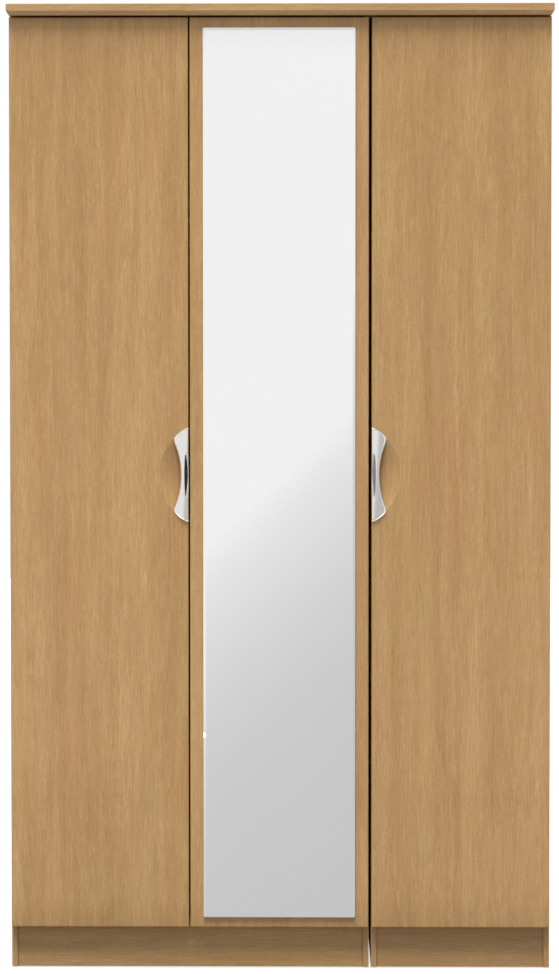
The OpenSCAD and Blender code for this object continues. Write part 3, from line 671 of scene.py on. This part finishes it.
def glow_material(name, colour_of, strength=1.0):
    """A surface that only gives off light; colour_of makes its colour from the material's nodes."""
    material = bpy.data.materials.new(name)
    material.use_nodes = True
    nodes, links = material.node_tree.nodes, material.node_tree.links
    nodes.clear()
    emission = nodes.new("ShaderNodeEmission")
    emission.inputs["Strength"].default_value = strength
    colour = colour_of(nodes, links)
    if isinstance(colour, tuple):
        emission.inputs["Color"].default_value = (*colour, 1)
    else:
        links.new(colour, emission.inputs["Color"])
    output = nodes.new("ShaderNodeOutputMaterial")
    links.new(emission.outputs[0], output.inputs["Surface"])
    return material


def depth_ramp(nodes, links, front_y, back_y, stops):
    """Colour stops from front_y to back_y through the scene's depth."""
    place = nodes.new("ShaderNodeSeparateXYZ")
    links.new(mapped(nodes, links, (1, 1, 1)), place.inputs[0])
    span = nodes.new("ShaderNodeMapRange")
    span.interpolation_type = "SMOOTHSTEP"
    span.inputs["From Min"].default_value = front_y
    span.inputs["From Max"].default_value = back_y
    links.new(place.outputs["Y"], span.inputs["Value"])
    return ramp(nodes, links, span.outputs[0], stops)


def hide_from(piece, *rays):
    """Makes a staged piece invisible to some kinds of ray."""
    for ray in rays:
        setattr(piece, "visible_" + ray, False)


FLOOR_HALF = 12
# The floor's painted glow and tone fall from lit near the wardrobe to dimmed further in front: painted
# light falloff
FLOOR_DIMMED_Y, FLOOR_LIT_Y = -1.60, -0.50


def add_floor():
    """A pale floor whose painted glow washes out its contact shadow, near white round the wardrobe and
    light grey further in front as painted light falloff, and under it a dim twin that alone sends stray
    light up at the wood."""
    material, nodes, links, shader = new_material("floor")
    tone = depth_ramp(nodes, links, FLOOR_DIMMED_Y, FLOOR_LIT_Y, ((0.0, 0.20), (1.0, 0.28)))
    links.new(tone, shader.inputs["Base Color"])
    shader.inputs["Roughness"].default_value = 0.9
    shader.inputs["Specular IOR Level"].default_value = 0.1
    # The floor's glow is painted light: it keeps the floor near white and hides its contact shadow
    glow = depth_ramp(nodes, links, FLOOR_DIMMED_Y, FLOOR_LIT_Y, ((0.0, 0.45), (1.0, 0.72)))
    links.new(glow, shader.inputs["Emission Color"])
    shader.inputs["Emission Strength"].default_value = 1.0
    floor = plane("floor", flat_square(FLOOR_HALF, 0.0), material)
    hide_from(floor, "diffuse", "glossy")

    # The stray glow fades towards the wardrobe as painted shade, for the floor that the wardrobe shades
    def stray(nodes, links):
        return depth_ramp(nodes, links, -1.3, -0.3, ((0.0, 0.57), (1.0, 0.34)))
    bounce = plane("floor_bounce", flat_square(FLOOR_HALF, -1 * MM), glow_material("bounce", stray))
    hide_from(bounce, "camera", "glossy", "transmission", "shadow")


def flat_square(half, z):
    """The corners of a level square."""
    return ((-half, -half, z), (half, -half, z), (half, half, z), (-half, half, z))


CARD_Y, CARD_HALF_W, CARD_BOTTOM, CARD_TOP = -8.0, 6.0, -3.0, 6.0
CARD_SLOPE = 0.92
CARD_LOW, CARD_HIGH = -1.2, 1.0
CARD_TONES = ((-1.2, 0.600), (-0.65, 0.628), (-0.26, 0.649), (0.0, 0.685), (0.255, 0.738),
              (0.515, 0.810), (0.645, 0.849), (0.83, 0.946))
# Near its top the card darkens: painted shade that the mirror shows as the overhanging top's shadow
CARD_TOP_SHADE_LOW, CARD_TOP_SHADE_HIGH = 2.58, 2.76
CARD_TOP_SHADE = ((0.0, 1.0), (0.55, 0.94), (1.0, 0.74))


def add_card():
    """What the mirror sees: white above a line that rises to the right, fading to grey below it, and
    a little darker along the top as painted shade for the overhanging top's shadow on the glass."""
    def soft_step(nodes, links):
        place = nodes.new("ShaderNodeSeparateXYZ")
        links.new(mapped(nodes, links, (1, 1, 1)), place.inputs[0])
        height = math_node(nodes, links, "SUBTRACT", place.outputs["Z"],
                           math_node(nodes, links, "MULTIPLY", place.outputs["X"], CARD_SLOPE))
        span = nodes.new("ShaderNodeMapRange")
        span.inputs["From Min"].default_value = CARD_LOW
        span.inputs["From Max"].default_value = CARD_HIGH
        links.new(height, span.inputs["Value"])
        stops = [((h - CARD_LOW) / (CARD_HIGH - CARD_LOW), tone) for h, tone in CARD_TONES]
        # The darkening along the card's top is painted shade
        top_shade_span = nodes.new("ShaderNodeMapRange")
        top_shade_span.inputs["From Min"].default_value = CARD_TOP_SHADE_LOW
        top_shade_span.inputs["From Max"].default_value = CARD_TOP_SHADE_HIGH
        links.new(place.outputs["Z"], top_shade_span.inputs["Value"])
        tone = ramp(nodes, links, span.outputs[0], stops)
        shade = ramp(nodes, links, top_shade_span.outputs[0], CARD_TOP_SHADE)
        return mix_colour(nodes, links, "MULTIPLY", 1.0, tone, shade)

    left, right = -CARD_HALF_W, CARD_HALF_W
    corners = ((left, CARD_Y, CARD_BOTTOM), (right, CARD_Y, CARD_BOTTOM),
               (right, CARD_Y, CARD_TOP), (left, CARD_Y, CARD_TOP))
    card = plane("card", corners, glow_material("card", soft_step))
    hide_from(card, "camera", "diffuse", "shadow", "transmission")


def add_flags():
    """Cards at the wardrobe's sides, seen only in reflections: black at the right, grey at the left."""
    for name, x, tone in (("flag_right", 1.5, 0.03), ("flag_left", -1.5, 0.28)):
        near, far, bottom, top = -0.40, -0.90, 0.70, 1.35
        corners = ((x, far, bottom), (x, near, bottom), (x, near, top), (x, far, top))
        flag = plane(name, corners, glow_material(name, lambda nodes, links: (tone,) * 3))
        hide_from(flag, "camera", "diffuse", "shadow", "transmission")


def add_low_cards():
    """Bright cards low in front at both sides, seen only in reflections, on the handles' lower horns."""
    for name, side in (("low_card_right", 1), ("low_card_left", -1)):
        inner, outer, near, far, z = side * 0.28, side * 1.3, -0.45, -1.45, 0.35
        corners = ((inner, far, z), (outer, far, z), (outer, near, z), (inner, near, z))
        glow = glow_material(name, lambda nodes, links: (1.0, 0.98, 0.96), 2.2)
        card = plane(name, corners, glow)
        hide_from(card, "camera", "diffuse", "shadow", "transmission")


def add_sun(name, azimuth, elevation, spread, irradiance):
    """Parallel soft light that doesn't show in reflections; azimuth is in degrees to the right of
    straight in front of the doors."""
    data = bpy.data.lights.new(name, "SUN")
    data.energy = irradiance
    data.angle = math.radians(spread)
    sun = bpy.data.objects.new(name, data)
    bpy.context.scene.collection.objects.link(sun)
    a, e = math.radians(azimuth), math.radians(elevation)
    towards = Vector((math.sin(a) * math.cos(e), -math.cos(a) * math.cos(e), math.sin(e)))
    sun.rotation_euler = towards.to_track_quat("Z", "Y").to_euler()
    sun.visible_glossy = False


def add_light(name, location, target, size, power):
    """A rectangular lamp that the camera doesn't see."""
    data = bpy.data.lights.new(name, "AREA")
    data.shape = "RECTANGLE"
    data.size, data.size_y = size
    data.energy = power
    light = bpy.data.objects.new(name, data)
    bpy.context.scene.collection.objects.link(light)
    light.location = location
    light.rotation_euler = (Vector(target) - Vector(location)).to_track_quat("-Z", "Y").to_euler()
    light.visible_camera = False


def add_sky(full, dim):
    """An even white surround, dimmer for the stray light that falls on matt surfaces."""
    world = bpy.data.worlds.new("studio")
    world.use_nodes = True
    nodes, links = world.node_tree.nodes, world.node_tree.links
    path = nodes.new("ShaderNodeLightPath")
    strength = nodes.new("ShaderNodeMapRange")
    strength.inputs["To Min"].default_value = full
    strength.inputs["To Max"].default_value = dim
    links.new(path.outputs["Is Diffuse Ray"], strength.inputs["Value"])
    background = nodes["Background"]
    background.inputs["Color"].default_value = (1, 1, 1, 1)
    links.new(strength.outputs[0], background.inputs["Strength"])
    world.cycles.sampling_method = "NONE"
    bpy.context.scene.world = world


def add_stage():
    """The surround, the floor, the cards and the lights."""
    bpy.context.scene.view_settings.view_transform = "Standard"
    add_sky(full=1.0, dim=0.41)
    add_floor()
    add_card()
    add_flags()
    add_low_cards()
    add_sun("top_sun", azimuth=-14, elevation=75, spread=28, irradiance=6.2)
    add_sun("back_fill", azimuth=140, elevation=22, spread=50, irradiance=1.5)
    add_light("key", location=(-1.2, -3.3, 5.0), target=(0, 0, 1.2), size=(2.4, 1.6), power=25)


# ---------- assembly ----------

# Each door, the side of its hinges and of its scoop (-1 left, 1 right, 0 none), and where its part
# of the printed oak starts
DOORS = (("left_door", -1, 1, (0.13, 0.05, 0.31)), ("mirror_door", 1, 0, (0.83, 0.4, 1.7)),
         ("right_door", 1, -1, (1.61, 0.9, 0.6)))


def build():
    """The whole picture: camera, stage, doors, handles, mirror, and the CAD nodes' looks."""
    add_camera()
    add_stage()
    materials = {
        "chrome": chrome(),
        "mirror": silvered_glass(),
        "hardboard": hardboard(),
        "foam_tape": moulded("foam_tape", (0.03, 0.03, 0.03), 0.8, 1400),
        "black_plastic": moulded("black_plastic", (0.02, 0.02, 0.02), 0.45),
        "clear_plastic": moulded("clear_plastic", (0.72, 0.72, 0.70), 0.3),
        "nickel_steel": plated("nickel_steel", (0.66, 0.65, 0.63), (0.52, 0.51, 0.50), 0.28),
        "zinc_steel": plated("zinc_steel", (0.68, 0.70, 0.72), (0.50, 0.52, 0.55), 0.34),
    }
    for door, hinge_side, scoop_side, shift in DOORS:
        door_leaf(door + "_leaf", door, door, hinge_side, scoop_side, oak(door + "_oak", "z", shift))
    bow_handle("left_bow_handle", "left_handle", "left_door", 1, materials["chrome"])
    bow_handle("right_bow_handle", "right_handle", "right_door", -1, materials["chrome"])
    mirror_glass(materials)
    finish_cad_nodes(materials)


build()
bpy.context.view_layer.update()
